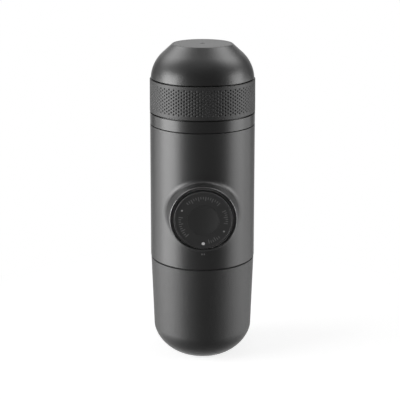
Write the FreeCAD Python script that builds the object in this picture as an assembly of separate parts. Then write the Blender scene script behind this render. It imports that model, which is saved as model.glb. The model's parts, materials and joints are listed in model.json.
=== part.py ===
"""Handheld manual espresso maker in millimetres, +Z up.

The origin is the centre of the cup's flat base, on the body's axis, and the pump knob faces -Y.
From the ground up: drinking cup, pump housing, collar, water tank. Inside the cup hangs the
capsule head. Pieces of the pump are drawn upright about Z, their height counted outwards from
the body's axis, and then laid on the pump's own axis.
"""
import FreeCAD, Part
import math
import os
from FreeCAD import Vector

# Fits between pieces
seat_gap = 0.05        # one piece seated in another that it never leaves
running_gap = 0.08     # a piece that turns or slides in another
free_gap = 0.3         # round faces that pass each other without guiding
past = 1.0             # how far a cut runs past the face that it opens
seam = 0.15            # flat joint between pieces that come apart
edge_break = 0.35      # chamfer along the seams

# Lengths of the stack, from the ground up
cup_height = 58.0
housing_length = 77.0
collar_height = 7.15
grip_height = 18.0
dome_height = 18.85

# Radii of the stack
housing_flare = 0.4    # the housing is wider at its foot by this
cup_rim_step = 0.2     # the cup's rim is narrower than the housing's foot by this
cup_taper = 1.3        # from the cup's rim down to its bowl
grip_proud = 0.05      # grip ring beyond the collar
grip_taper = 0.18      # from the grip ring's foot to its top
dome_step = 0.5        # dome within the grip ring

# Cup
bowl_height = 16.5
cup_foot_r = 11.6
bowl_power = 1.65      # power of the bowl's superellipse
cup_wall = 1.6
cup_floor = 2.2
cup_lip = 0.5          # rounding of the drinking edge

# Housing and its boss
housing_wall = 2.2
knob_height = 31.75    # pump axis above the housing's foot
boss_proud = 6.6       # boss beyond the housing's wall
boss_rim = 0.55        # width of the boss's front edge
boss_draft = 6.7       # degrees
boss_edge = 0.27       # chamfer of the front edge
boss_blend = 1.2
boss_root = 9.0        # the boss is drawn from this far out, inside the sleeve
well_depth = 2.5       # from the boss's edge down to the knob guide

# Knob
knob_r = 15.8
knob_length = 33.0
knob_proud = 1.8       # knob's face beyond the boss
knob_wall = 2.2
knob_edge = 0.4
face_rim_width = 0.6
face_rim_height = 0.2
insert_r = 8.6
insert_thickness = 1.15
dish_depth = 0.6
dish_margin = 0.4
guide_wall = 1.57
guide_flange_r = 21.0
guide_flange = 2.0
dot_circle_r = 12.7
dot_angles = (270.0, 154.0, -29.0)
dot_radii = (0.95, 0.65, 0.65)
dot_depth = 0.5

# Pump
pump_stroke = 22.0
pump_bore_r = 6.5
cylinder_wall = 3.0
cylinder_back = 1.2
cylinder_flange = 2.0
cylinder_flange_width = 3.0
piston_length = 5.5
piston_seal_length = 2.6
piston_seal_width = 1.6
rod_r = 3.5
rod_neck_r = 2.5
web_thickness = 2.3    # of the knob, where it turns on the rod's neck
screw_head_r = 4.5
screw_head = 1.1
driver_room = 1.5      # round the screw's head, in the knob
slot_width = 1.0
slot_depth = 0.6
screw_shank_r = 1.5
screw_length = 9.0
cap_wall = 1.5
cap_end = 2.0
cap_skirt = 6.0
stop_gap = 0.4
spring_wire = 1.0
spring_turns = 8
carrier_thickness = 3.0
rib_depth = 9.0
rib_thickness = 2.0
rib_spacing = 34.0
leg_gap = 24.0
guide_screw_r = 1.1
guide_screw_head_r = 1.75
guide_screw_head = 1.1

# Valves
block_width = 16.0
block_depth = 8.2
block_round = 1.5
valve_bore_r = 2.75
port_r = 1.3
port_chamfer = 0.7
poppet_r = 2.3
poppet_thickness = 1.2
poppet_stem_r = 0.9
poppet_stem = 3.2
valve_spring_length = 5.5
valve_spring_wire = 0.45
valve_spring_turns = 4
valve_plug = 3.0
valve_core = 15.0      # between the inlet's spring and the outlet's port
tube_r = 2.2
tube_bend_r = 4.0
brew_port_y = 8.0      # where the brew tube goes through the floor

# Tank
bulkhead_thickness = 4.0
bulkhead_depth = 9.15  # its underside below the housing's top
spigot_wall = 2.0
spigot_reach = 10.85   # below the grip ring's foot
thread_gap = 0.4
collar_wall = 3.1
tank_wall = 2.2
grip_wall = 2.6
seal_section_r = 0.9
tank_seal_height = 2.2 # above the spigot's end
seal_clearance = 0.12
dome_arc_r = 19.8
dome_draft = 2.4       # degrees from upright at the dome's foot
dome_slope = 42.2      # degrees from level at its top
disc_margin = 0.65
disc_thickness = 1.2
top_edge = 0.3
filter_r = 3.6
filter_thickness = 0.6
filter_holes = 6
filter_hole_r = 0.5
vent_r = 2.0
vent_cap_r = 3.4
vent_cap = 1.2
vent_tail = 2.0
vent_barb = 0.4

# Capsule head
neck_reach = 12.0      # below the housing's foot
neck_wall = 3.48
neck_plate = 3.0
neck_plate_height = 7.0
cup_gap = 0.45
cup_seal_section_r = 1.0
cup_seal_height = 5.5  # above the neck's end
capsule_rim_r = 18.5
capsule_rim = 0.6
basket_top_r = 14.9
basket_low_r = 11.7
basket_wall = 1.5
basket_depth = 29.0
basket_floor = 1.6
drain_count = 6
drain_circle_r = 7.0
drain_r = 1.0
flange_width = 2.0
flange_thickness = 1.3
head_wall = 2.2
head_ledge = 2.0
head_drip = 1.5        # room under the basket
head_floor = 2.4
head_funnel = 0.8      # fall of the floor towards the spout
head_funnel_r = 8.5
head_base_r = 9.9      # flat round the spout
head_round = 12.65     # height of the rounded bottom
head_round_inner = 11.25
spout_r = 4.5
spout_collar = 0.5     # fall of the base towards the spout
spout_bore_r = 2.0
spout_length = 4.0
flute_count = 12
flute_r = 3.0
flute_depth = 0.9
flute_margin = 1.5     # the flutes end below the neck by this
needle_plate_thickness = 1.35
needle_r = 1.0
needle_tip_r = 0.15
needle_length = 6.0
needle_circle_r = 7.0
needle_count = 3
spray_hole_r = 0.8
spray_circle_r = 10.5
spray_count = 6
brew_seal_thickness = 1.5
stack_gap = 0.1        # between the flat pieces clamped over the capsule

# Levels and radii that follow
housing_z = cup_height + seam
housing_top = housing_z + housing_length
collar_top = housing_top + collar_height
grip_z = collar_top + seam
dome_z = grip_z + grip_height
top_z = dome_z + dome_height
pump_z = housing_z + knob_height

# Radii grow outwards from the capsule: holder, head, neck, cup, housing
flange_r = capsule_rim_r + flange_width
pocket_r = flange_r + free_gap
ledge_r = pocket_r - head_ledge
head_r = pocket_r + head_wall
neck_bore_r = head_r + thread_gap
neck_r = neck_bore_r + neck_wall
neck_z = housing_z - neck_reach

neck_share = (cup_height - neck_z) / (cup_height - bowl_height)
cup_rim_r = neck_r + cup_gap + cup_wall + cup_taper * neck_share
cup_bowl_r = cup_rim_r - cup_taper
housing_foot_r = cup_rim_r + cup_rim_step
body_r = housing_foot_r - housing_flare
housing_bore_r = body_r - housing_wall
grip_r = body_r + grip_proud
grip_top_r = grip_r - grip_taper
dome_r = grip_top_r - dome_step


def housing_r(height):
    """Outer radius of the housing at a height."""
    share = (height - housing_z) / housing_length
    return housing_foot_r - housing_flare * share


def cup_inner_r(height):
    """Inner radius of the cup's wall at a height above its bowl."""
    share = (height - bowl_height) / (cup_height - bowl_height)
    return cup_bowl_r + cup_taper * share - cup_wall


boss_front = housing_r(pump_z) + boss_proud
guide_front = boss_front - well_depth
guide_bore_r = knob_r + running_gap
guide_r = guide_bore_r + guide_wall
boss_bore_r = guide_r + seat_gap
boss_r = boss_bore_r + boss_rim

knob_front = boss_front + knob_proud
face_level = knob_front - face_rim_height
insert_seat = face_level - insert_thickness - seat_gap
web_top = insert_seat - screw_head - 2 * seat_gap
web_low = web_top - web_thickness
knob_inner_r = knob_r - knob_wall
knob_back = knob_front - knob_length

block_back = math.sqrt(housing_bore_r ** 2 - (block_width / 2) ** 2) - 2 * free_gap
block_front = block_back - block_depth
valve_y = (block_front + block_back) / 2
cylinder_r = pump_bore_r + cylinder_wall
bore_end = -(block_front - cylinder_back)
piston_tip = bore_end + 2 * free_gap
piston_front = piston_tip + piston_length
cylinder_mouth = piston_front + pump_stroke + stop_gap
cap_r = cylinder_r + seat_gap + cap_wall
spring_r = (cap_r + knob_inner_r) / 2

core_top = pump_z + valve_core / 2
core_low = pump_z - valve_core / 2
inlet_seat_z = core_top + valve_spring_length + poppet_thickness + 2 * seat_gap
outlet_seat_z = core_low
block_top = inlet_seat_z + valve_plug
outlet_floor_z = outlet_seat_z - poppet_thickness - valve_spring_length - 2 * seat_gap
block_low = outlet_floor_z - valve_plug

bulkhead_z = housing_top - bulkhead_depth
bulkhead_top = bulkhead_z + bulkhead_thickness
collar_bore_r = body_r - collar_wall
spigot_r = collar_bore_r - thread_gap
spigot_z = grip_z - spigot_reach
grip_bore_r = grip_r - grip_wall
shell_r = grip_bore_r - seat_gap

plate_top = housing_z + neck_plate_height
plate_z = plate_top - neck_plate
needle_plate_z = plate_z - seat_gap - needle_plate_thickness
seal_z = needle_plate_z - stack_gap - brew_seal_thickness
flange_top = seal_z - stack_gap
flange_z = flange_top - flange_thickness
head_top = flange_top - stack_gap
basket_z = flange_top - basket_depth - basket_floor
head_inside_z = basket_z - head_drip
head_z = head_inside_z - head_floor
spout_z = head_z - spout_length


def at(radius, height):
    """A point of a turned outline."""
    return Vector(radius, 0, height)


def outline(start, moves):
    """Edges of a closed outline. A move is a corner, or a list: two corners make an arc
    through the first to the second, and more make a smooth curve."""
    here = at(*start)
    edges = []
    for move in list(moves) + [start]:
        points = move if isinstance(move, list) else [move]
        points = [at(*point) for point in points]
        if len(points) == 1:
            edges.append(Part.makeLine(here, points[0]))
        elif len(points) == 2:
            edges.append(Part.Arc(here, points[0], points[1]).toShape())
        else:
            curve = Part.BSplineCurve()
            curve.interpolate([here] + points)
            edges.append(curve.toShape())
        here = points[-1]
    return edges


def turned(start, *moves):
    """A solid turned about Z from an outline of (radius, height) corners."""
    face = Part.Face(Part.Wire(outline(start, moves)))
    return face.revolve(Vector(0, 0, 0), Vector(0, 0, 1), 360)


def cap_arc(radius, edge, middle):
    """A move along a shallow spherical cap, from its edge's level to its middle's."""
    rise = middle - edge
    sphere = (radius ** 2 + rise ** 2) / (2 * abs(rise))
    half = radius / 2
    drop = sphere - math.sqrt(sphere ** 2 - half ** 2)
    return [(half, middle - math.copysign(drop, rise)), (0, middle)]


def rod(radius, low, high, x=0.0, y=0.0):
    """An upright cylinder between two levels."""
    return Part.makeCylinder(radius, high - low, Vector(x, y, low))


def ring(outer, inner, low, high):
    """An upright ring between two levels."""
    return rod(outer, low, high).cut(rod(inner, low, high))


def around(count, radius, make):
    """Copies of a small shape on a circle; make draws one at a place in plan."""
    angles = [2 * math.pi * step / count for step in range(count)]
    return [make(radius * math.cos(angle), radius * math.sin(angle)) for angle in angles]


def on_pump_axis(shape):
    """Lay an upright shape on the pump's axis, its top facing -Y."""
    laid = shape.copy()
    laid.rotate(Vector(0, 0, 0), Vector(1, 0, 0), 90)
    laid.translate(Vector(0, 0, pump_z))
    return laid


def coil(radius, wire, low, high, turns):
    """A spring of square wire between two levels."""
    pitch = (high - low - wire) / turns
    path = Part.Wire(Part.makeHelix(pitch, pitch * turns, radius).Edges)
    half = wire / 2
    corners = [at(radius - half, -half), at(radius + half, -half)]
    corners += [at(radius + half, half), at(radius - half, half)]
    section = Part.makePolygon(corners + corners[:1])
    spring = path.makePipeShell([section], True, True)
    spring.translate(Vector(0, 0, low + half))
    return spring


# Cup

def bowl_curve(foot_r, wall_r, low, high, steps=8):
    """The bowl's superellipse from its foot up to the wall, without its first point."""
    power = 2 / bowl_power
    angles = [math.pi / 2 * step / steps for step in range(1, steps + 1)]
    return [
        (
            foot_r + (wall_r - foot_r) * math.sin(angle) ** power,
            low + (high - low) * (1 - max(math.cos(angle), 0.0) ** power),
        )
        for angle in angles
    ]


def cup_shell():
    """A round-bottomed cup whose rounded rim is the drinking edge."""
    inner_bowl_r = cup_bowl_r - cup_wall
    inner_foot_r = cup_foot_r - cup_floor / 2
    outside = bowl_curve(cup_foot_r, cup_bowl_r, 0.0, bowl_height)
    inside = bowl_curve(inner_foot_r, inner_bowl_r, cup_floor, bowl_height)
    back_down = inside[-2::-1] + [(inner_foot_r, cup_floor)]
    rim_inner_r = cup_inner_r(cup_height)
    return turned(
        (0, 0),
        (cup_foot_r, 0),
        outside,
        (cup_rim_r, cup_height - edge_break),
        (cup_rim_r - edge_break, cup_height),
        (rim_inner_r + cup_lip, cup_height),
        (rim_inner_r, cup_height - cup_lip),
        (inner_bowl_r, bowl_height),
        back_down,
        (0, cup_floor),
    )


# Housing, collar and knob guide

def boss_r_at(height):
    """The boss's radius at a height out from the body's axis."""
    return boss_r + math.tan(math.radians(boss_draft)) * (boss_front - height)


def boss_body():
    """A tapered round boss from inside the sleeve out to its narrow front edge."""
    shoulder = boss_front - boss_edge
    return on_pump_axis(
        turned(
            (0, boss_root),
            (boss_r_at(boss_root), boss_root),
            (boss_r_at(shoulder), shoulder),
            (boss_r - boss_edge, boss_front),
            (0, boss_front),
        )
    )


def joint_edges(shape, samples=7, tolerance=0.02):
    """The edges where the boss rises from the sleeve's outside."""
    found = []
    for edge in shape.Edges:
        points = edge.discretize(samples)
        on_skin = all(
            abs(math.hypot(point.x, point.y) - housing_r(point.z)) < tolerance for point in points
        )
        round_boss = all(
            math.hypot(point.x, point.z - pump_z) < boss_r_at(0) for point in points
        )
        if on_skin and round_boss and edge.CenterOfMass.y < 0:
            found.append(edge)
    return found


def main_housing():
    """The sleeve with its boss, and the well that the knob's guide fills."""
    bore = rod(housing_bore_r, housing_z - past, housing_top + past)
    outside = turned(
        (0, housing_z),
        (housing_foot_r - edge_break, housing_z),
        (housing_foot_r, housing_z + edge_break),
        (body_r, housing_top - edge_break),
        (body_r - edge_break, housing_top),
        (0, housing_top),
    )
    raised = outside.fuse(boss_body()).removeSplitter()
    raised = raised.makeFillet(boss_blend, joint_edges(raised))
    well = on_pump_axis(rod(boss_bore_r, 0, boss_front + past))
    return raised.cut(bore).cut(well)


def collar_ring():
    """The ring over the housing that the tank screws into, with a spigot in the sleeve."""
    spigot_outer = housing_bore_r - seat_gap
    return turned(
        (collar_bore_r, bulkhead_top),
        (spigot_outer, bulkhead_top),
        (spigot_outer, housing_top),
        (body_r - edge_break, housing_top),
        (body_r, housing_top + edge_break),
        (body_r, collar_top - edge_break),
        (body_r - edge_break, collar_top),
        (collar_bore_r, collar_top),
    )


def guide_screw_places():
    """Centres of the four screws, on the diagonals of the guide's flange."""
    reach = (guide_r + guide_flange_r) / 2
    side = reach / math.sqrt(2)
    return [(side, side), (-side, side), (-side, -side), (side, -side)]


def knob_guide():
    """The black sleeve that the knob slides in, flanged where it meets the carrier."""
    sleeve = ring(guide_r, guide_bore_r, 0, guide_front)
    flange = ring(guide_flange_r, guide_bore_r, 0, guide_flange)
    guide = sleeve.fuse(flange)
    for x, y in guide_screw_places():
        guide = guide.cut(rod(guide_screw_r + seat_gap, -past, guide_flange + past, x, y))
    return on_pump_axis(guide.removeSplitter())


# Knob

def dot_places():
    """Centres of the marks on the knob's face, counted from the right, anticlockwise."""
    turns = [math.radians(angle) for angle in dot_angles]
    return [(dot_circle_r * math.cos(turn), dot_circle_r * math.sin(turn)) for turn in turns]


def knob_shell():
    """A deep hollow cap; its web turns on the rod's neck behind the dished insert."""
    lip_outer = knob_r - knob_edge
    lip_inner = lip_outer - face_rim_width
    recess_r = insert_r + seat_gap
    pocket = screw_head_r + driver_room
    hole_r = rod_neck_r + running_gap
    bend = knob_edge * (1 - math.sqrt(0.5))
    shell = turned(
        (hole_r, web_low),
        (knob_inner_r, web_low),
        (knob_inner_r, knob_back),
        (knob_r, knob_back),
        (knob_r, knob_front - knob_edge),
        [(knob_r - bend, knob_front - bend), (lip_outer, knob_front)],
        (lip_inner, knob_front),
        (lip_inner - face_rim_height, face_level),
        (recess_r, face_level),
        (recess_r, insert_seat),
        (pocket, insert_seat),
        (pocket, web_top),
        (hole_r, web_top),
    )
    for (x, y), radius in zip(dot_places(), dot_radii):
        hole = rod(radius + seat_gap, face_level - dot_depth, knob_front, x, y)
        shell = shell.cut(hole)
    return on_pump_axis(shell)


def knob_face():
    """The dished insert in the middle of the knob's face."""
    low = insert_seat + seat_gap
    dish_r = insert_r - dish_margin
    return on_pump_axis(
        turned(
            (0, low),
            (insert_r, low),
            (insert_r, face_level),
            (dish_r, face_level),
            cap_arc(dish_r, face_level, face_level - dish_depth),
        )
    )


def knob_dots():
    """The marks let into the knob's face."""
    dots = []
    for (x, y), radius in zip(dot_places(), dot_radii):
        dots.append(rod(radius, face_level - dot_depth + seat_gap, face_level, x, y))
    return on_pump_axis(Part.makeCompound(dots))


# Plunger, cylinder and spring

def plunger_rod():
    """Piston, rod and neck in one, tapped for the screw that holds the knob."""
    piston_r = pump_bore_r - free_gap
    groove_r = pump_bore_r - running_gap - piston_seal_width - seat_gap
    spare = (piston_length - piston_seal_length) / 2
    neck_top = web_top + seat_gap
    shank = screw_shank_r + seat_gap
    shank_end = neck_top - screw_length
    return on_pump_axis(
        turned(
            (0, piston_tip),
            (piston_r, piston_tip),
            (piston_r, piston_tip + spare - seat_gap),
            (groove_r, piston_tip + spare - seat_gap),
            (groove_r, piston_front - spare + seat_gap),
            (piston_r, piston_front - spare + seat_gap),
            (piston_r, piston_front),
            (rod_r, piston_front),
            (rod_r, web_low - running_gap),
            (rod_neck_r, web_low - running_gap),
            (rod_neck_r, neck_top),
            (shank, neck_top),
            (shank, shank_end),
            (0, shank_end),
        )
    )


def piston_seal():
    """A ring with a groove between two lips that wipe the bore."""
    outer = pump_bore_r - running_gap
    inner = outer - piston_seal_width
    low = piston_tip + (piston_length - piston_seal_length) / 2
    high = low + piston_seal_length
    lip = piston_seal_length / 3
    return on_pump_axis(
        turned(
            (inner, low),
            (outer, low),
            (outer, low + lip),
            (outer - piston_seal_width / 3, low + piston_seal_length / 2),
            (outer, high - lip),
            (outer, high),
            (inner, high),
        )
    )


def knob_screw():
    """A flat-headed screw in the rod's end, over the knob's web."""
    under = web_top + 2 * seat_gap
    end = web_top + seat_gap - screw_length
    top = under + screw_head - seat_gap
    head = rod(screw_head_r, under, top)
    shank = rod(screw_shank_r, end + seat_gap, under)
    slot = Part.makeBox(2 * screw_head_r, slot_width, slot_depth)
    slot.translate(Vector(-screw_head_r, -slot_width / 2, top - slot_depth))
    return on_pump_axis(head.fuse(shank).cut(slot))


def pump_cylinder():
    """A blind tube, flanged behind the carrier, with a port in its back."""
    back = -block_front
    flange_top_h = -carrier_thickness - seat_gap
    flange_r_outer = cylinder_r + cylinder_flange_width
    tube = turned(
        (0, back),
        (cylinder_r, back),
        (cylinder_r, flange_top_h - cylinder_flange),
        (flange_r_outer, flange_top_h - cylinder_flange),
        (flange_r_outer, flange_top_h),
        (cylinder_r, flange_top_h),
        (cylinder_r, cylinder_mouth),
        (pump_bore_r, cylinder_mouth),
        (pump_bore_r, bore_end),
        (0, bore_end),
    )
    return on_pump_axis(tube.cut(rod(port_r, back - past, bore_end + past)))


def cylinder_cap():
    """A screwed cap that stops the plunger at the end of its stroke."""
    inner = cylinder_r + seat_gap
    end = cylinder_mouth + seat_gap
    hole_r = rod_r + free_gap
    return on_pump_axis(
        turned(
            (inner, cylinder_mouth - cap_skirt),
            (cap_r, cylinder_mouth - cap_skirt),
            (cap_r, end + cap_end - edge_break),
            (cap_r - edge_break, end + cap_end),
            (hole_r, end + cap_end),
            (hole_r, end),
            (inner, end),
        )
    )


def return_spring():
    """The spring between the carrier and the knob's web that pushes the knob out."""
    return on_pump_axis(
        coil(spring_r, spring_wire, seat_gap, web_low - seat_gap, spring_turns)
    )


# Carrier and its screws

def pump_carrier():
    """The upright plate that the cylinder and the knob's guide are fixed to."""
    half = math.sqrt(housing_bore_r ** 2 - carrier_thickness ** 2) - free_gap
    low = plate_top
    high = bulkhead_z
    plate = Part.makeBox(2 * half, carrier_thickness, high - low, Vector(-half, 0, low))
    arch = Part.makeBox(leg_gap, carrier_thickness, block_low - low)
    arch.translate(Vector(-leg_gap / 2, 0, low))
    plate = plate.cut(arch)
    for side in (-1, 1):
        x = side * rib_spacing / 2 - rib_thickness / 2
        rib = Part.makeBox(rib_thickness, rib_depth, high - low)
        rib.translate(Vector(x, carrier_thickness, low))
        plate = plate.fuse(rib)
    plate = plate.cut(on_pump_axis(rod(cylinder_r + seat_gap, -rib_depth, past)))
    for x, y in guide_screw_places():
        hole = rod(guide_screw_r + seat_gap, -carrier_thickness, past, x, y)
        plate = plate.cut(on_pump_axis(hole))
    return plate.removeSplitter()


def guide_screws():
    """Four pan-headed screws through the guide's flange into the carrier."""
    screws = []
    for x, y in guide_screw_places():
        under = guide_flange + seat_gap
        shank = rod(guide_screw_r, -carrier_thickness + seat_gap, under, x, y)
        head = rod(guide_screw_head_r, under, under + guide_screw_head, x, y)
        screws.append(shank.fuse(head))
    return on_pump_axis(Part.makeCompound(screws))


# Valves and water ways

def valve_block():
    """The block behind the cylinder: inlet valve above the pump's port, outlet valve below."""
    block = Part.makeBox(block_width, block_depth, block_top - block_low)
    block.translate(Vector(-block_width / 2, block_front, block_low))
    uprights = [edge for edge in block.Edges if abs(edge.BoundBox.ZLength) > block_width]
    block = block.makeFillet(block_round, uprights)
    inlet_bore = rod(valve_bore_r, core_top, block_top + past, 0, valve_y)
    outlet_bore = rod(valve_bore_r, block_low - past, outlet_seat_z, 0, valve_y)
    core = rod(port_r, core_low, core_top, 0, valve_y)
    seat = Part.makeCone(port_r + port_chamfer, port_r, port_chamfer)
    seat.translate(Vector(0, valve_y, outlet_seat_z))
    port = on_pump_axis(rod(port_r, -valve_y, -block_front + past))
    for space in (inlet_bore, outlet_bore, core, seat, port):
        block = block.cut(space)
    return block


def inlet_seat():
    """A plug with a chamfered port, pressed in over the inlet poppet."""
    plug = rod(valve_bore_r - seat_gap, inlet_seat_z, block_top, 0, valve_y)
    port = rod(port_r, inlet_seat_z, block_top, 0, valve_y)
    seat = Part.makeCone(port_r + port_chamfer, port_r, port_chamfer)
    seat.translate(Vector(0, valve_y, inlet_seat_z))
    return plug.cut(port).cut(seat)


def outlet_plug():
    """A drilled plug that holds the outlet spring from below."""
    plug = rod(valve_bore_r - seat_gap, block_low, outlet_floor_z, 0, valve_y)
    return plug.cut(rod(port_r, block_low, outlet_floor_z, 0, valve_y))


def poppet(seat_z):
    """A disc with a coned nose under its seat and a stem inside its spring."""
    top = seat_z - seat_gap
    nose_r = port_r + port_chamfer - 2 * seat_gap
    nose = port_chamfer + 2 * seat_gap
    shape = turned(
        (0, top - poppet_thickness - poppet_stem),
        (poppet_stem_r, top - poppet_thickness - poppet_stem),
        (poppet_stem_r, top - poppet_thickness),
        (poppet_r, top - poppet_thickness),
        (poppet_r, top),
        (nose_r, top),
        (nose_r - nose, top + nose),
        (0, top + nose),
    )
    shape.translate(Vector(0, valve_y, 0))
    return shape


def valve_spring(seat_z):
    """The small spring round a poppet's stem."""
    high = seat_z - poppet_thickness - 2 * seat_gap
    low = high - valve_spring_length + seat_gap
    radius = (poppet_stem_r + valve_bore_r) / 2
    spring = coil(radius, valve_spring_wire, low, high, valve_spring_turns)
    spring.translate(Vector(0, valve_y, 0))
    return spring


def feed_tube():
    """From the tank's floor straight down to the inlet."""
    tube = rod(tube_r, block_top, bulkhead_z, 0, valve_y)
    return tube.cut(rod(port_r, block_top, bulkhead_z, 0, valve_y))


def brew_run(radius):
    """One skin of the brew tube: down from the outlet, across, and down into the floor."""
    across = plate_top + tube_r + free_gap
    bend = min(tube_bend_r, block_low - across - seam, valve_y - brew_port_y - seam)
    turn = bend * (1 - math.sqrt(0.5))
    start = Vector(0, valve_y, block_low)
    bend_top = Vector(0, valve_y, across + bend)
    bend_middle = Vector(0, valve_y - turn, across + turn)
    bend_end = Vector(0, valve_y - bend, across)
    corner = Vector(0, brew_port_y, across)
    path = Part.Wire([
        Part.makeLine(start, bend_top),
        Part.Arc(bend_top, bend_middle, bend_end).toShape(),
        Part.makeLine(bend_end, corner),
    ])
    section = Part.Wire(Part.makeCircle(radius, start, Vector(0, 0, -1)))
    pipe = path.makePipeShell([section], True, False)
    elbow = Part.makeSphere(radius, corner)
    drop = rod(radius, plate_top, across, 0, brew_port_y)
    return pipe.fuse([elbow, drop])


def brew_tube():
    """The bent tube from the outlet valve to the floor over the capsule."""
    return brew_run(tube_r).cut(brew_run(port_r))


# Water tank

def tank_bulkhead():
    """The floor under the tank, with the filter's recess and the vent's hole."""
    plate = rod(housing_bore_r - seat_gap, bulkhead_z, bulkhead_top)
    recess = rod(filter_r + seat_gap, bulkhead_top - filter_thickness - seat_gap,
                 bulkhead_top, 0, valve_y)
    passage = rod(port_r, bulkhead_z, bulkhead_top, 0, valve_y)
    vent = rod(vent_r + seat_gap, bulkhead_z, bulkhead_top, 0, -valve_y)
    return plate.cut(recess).cut(passage).cut(vent)


def intake_filter():
    """A perforated disc over the water passage."""
    low = bulkhead_top - filter_thickness
    disc = rod(filter_r, low, bulkhead_top, 0, valve_y)
    holes = around(
        filter_holes, filter_r / 2,
        lambda x, y: rod(filter_hole_r, low, bulkhead_top, x, y + valve_y),
    )
    for hole in holes:
        disc = disc.cut(hole)
    return disc


def vent_valve():
    """A rubber mushroom that lets air follow the water out of the tank."""
    barb_r = vent_r + vent_barb
    under = bulkhead_z - seat_gap
    seat = bulkhead_top + seat_gap
    shape = turned(
        (0, bulkhead_z - vent_tail),
        (barb_r, under - vent_tail / 2),
        (barb_r, under),
        (vent_r, under),
        (vent_r, seat),
        (vent_cap_r, seat),
        cap_arc(vent_cap_r, seat, bulkhead_top + vent_cap),
    )
    shape.translate(Vector(0, -valve_y, 0))
    return shape


def dome_arc(inset):
    """Centre and two ends of the dome's arc, moved inwards by a wall."""
    draft = math.radians(dome_draft)
    slope = math.radians(dome_slope)
    centre = (dome_r - dome_arc_r * math.cos(draft), dome_z - dome_arc_r * math.sin(draft))
    radius = dome_arc_r - inset
    low = (centre[0] + radius * math.cos(draft), centre[1] + radius * math.sin(draft))
    high = (centre[0] + radius * math.sin(slope), centre[1] + radius * math.cos(slope))
    return centre, radius, low, high


def slope_to(point, height):
    """Follow the dome's upper slope from a point to a height."""
    slope = math.radians(dome_slope)
    rise = height - point[1]
    return point[0] - rise / math.tan(slope), height


def arc_middle(centre, radius, start, end):
    """The point halfway along an arc between two of its points."""
    angles = [math.atan2(p[1] - centre[1], p[0] - centre[0]) for p in (start, end)]
    angle = sum(angles) / 2
    return centre[0] + radius * math.cos(angle), centre[1] + radius * math.sin(angle)


def dome_top_r():
    """Radius where the dome's slope reaches the flat top."""
    return slope_to(dome_arc(0.0)[3], top_z)[0]


def tank_shell():
    """Dome, wall under the grip ring and threaded spigot in one, with the disc's recess."""
    centre, radius, foot, crest = dome_arc(0.0)
    outer_mid = arc_middle(centre, radius, foot, crest)
    edge = slope_to(crest, top_z - top_edge)
    disc_r = dome_top_r() - disc_margin
    recess_z = top_z - disc_thickness - seat_gap
    inner_centre, inner_radius, _, inner_crest = dome_arc(tank_wall)
    wall_r = shell_r - tank_wall
    reach = math.sqrt(inner_radius ** 2 - (wall_r - inner_centre[0]) ** 2)
    wall_top = (wall_r, inner_centre[1] + reach)
    inner_mid = arc_middle(inner_centre, inner_radius, inner_crest, wall_top)
    ceiling_z = recess_z - tank_wall
    ceiling = slope_to(inner_crest, ceiling_z)
    spigot_inner = spigot_r - spigot_wall
    groove_z = spigot_z + tank_seal_height
    groove_r = collar_bore_r - seal_clearance - 2 * seal_section_r - seat_gap
    half = seal_section_r + seat_gap
    return turned(
        (spigot_inner, spigot_z),
        (spigot_r - edge_break, spigot_z),
        (spigot_r, spigot_z + edge_break),
        (spigot_r, groove_z - half),
        (groove_r, groove_z - half),
        (groove_r, groove_z + half),
        (spigot_r, groove_z + half),
        (spigot_r, grip_z),
        (shell_r, grip_z),
        (shell_r, dome_z),
        foot,
        [outer_mid, crest],
        edge,
        (dome_top_r() - top_edge, top_z),
        (disc_r + seat_gap, top_z),
        (disc_r + seat_gap, recess_z),
        (0, recess_z),
        (0, ceiling_z),
        ceiling,
        inner_crest,
        [inner_mid, wall_top],
        (wall_r, grip_z),
        (spigot_inner, grip_z - (wall_r - spigot_inner)),
    )


def tank_grip_ring():
    """The ring round the tank that the fingers grip."""
    return turned(
        (grip_bore_r, grip_z),
        (grip_r - edge_break, grip_z),
        (grip_r, grip_z + edge_break),
        (grip_top_r, dome_z - edge_break - seam),
        (grip_top_r - edge_break, dome_z - seam),
        (grip_bore_r, dome_z - seam),
    )


def tank_top_disc():
    """The disc let into the tank's flat top."""
    disc_r = dome_top_r() - disc_margin
    low = top_z - disc_thickness
    return turned(
        (0, low),
        (disc_r, low),
        (disc_r, top_z - top_edge / 2),
        (disc_r - top_edge / 2, top_z),
        (0, top_z),
    )


def tank_seal():
    """The ring in the spigot's groove that seals the tank in the collar."""
    centre_r = collar_bore_r - seal_clearance - seal_section_r
    level = Vector(0, 0, spigot_z + tank_seal_height)
    return Part.makeTorus(centre_r, seal_section_r, level)


# Capsule head

def brew_neck():
    """The housing's floor with the neck that carries the cup and the outlet head."""
    seal_level = neck_z + cup_seal_height
    centre_r = cup_inner_r(seal_level) - seal_clearance - cup_seal_section_r
    groove_r = centre_r - cup_seal_section_r - seat_gap
    half = cup_seal_section_r + seat_gap
    floor_r = housing_bore_r - seat_gap
    neck = turned(
        (neck_bore_r, neck_z),
        (neck_r - edge_break, neck_z),
        (neck_r, neck_z + edge_break),
        (neck_r, seal_level - half),
        (groove_r, seal_level - half),
        (groove_r, seal_level + half),
        (neck_r, seal_level + half),
        (neck_r, housing_z),
        (floor_r, housing_z),
        (floor_r, plate_top),
        (0, plate_top),
        (0, plate_z),
        (neck_bore_r, plate_z),
    )
    return neck.cut(rod(port_r, plate_z - past, plate_top + past, 0, brew_port_y))


def cup_seal():
    """The ring in the neck's groove that the cup grips."""
    seal_level = neck_z + cup_seal_height
    centre_r = cup_inner_r(seal_level) - seal_clearance - cup_seal_section_r
    return Part.makeTorus(centre_r, cup_seal_section_r, Vector(0, 0, seal_level))


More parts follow.
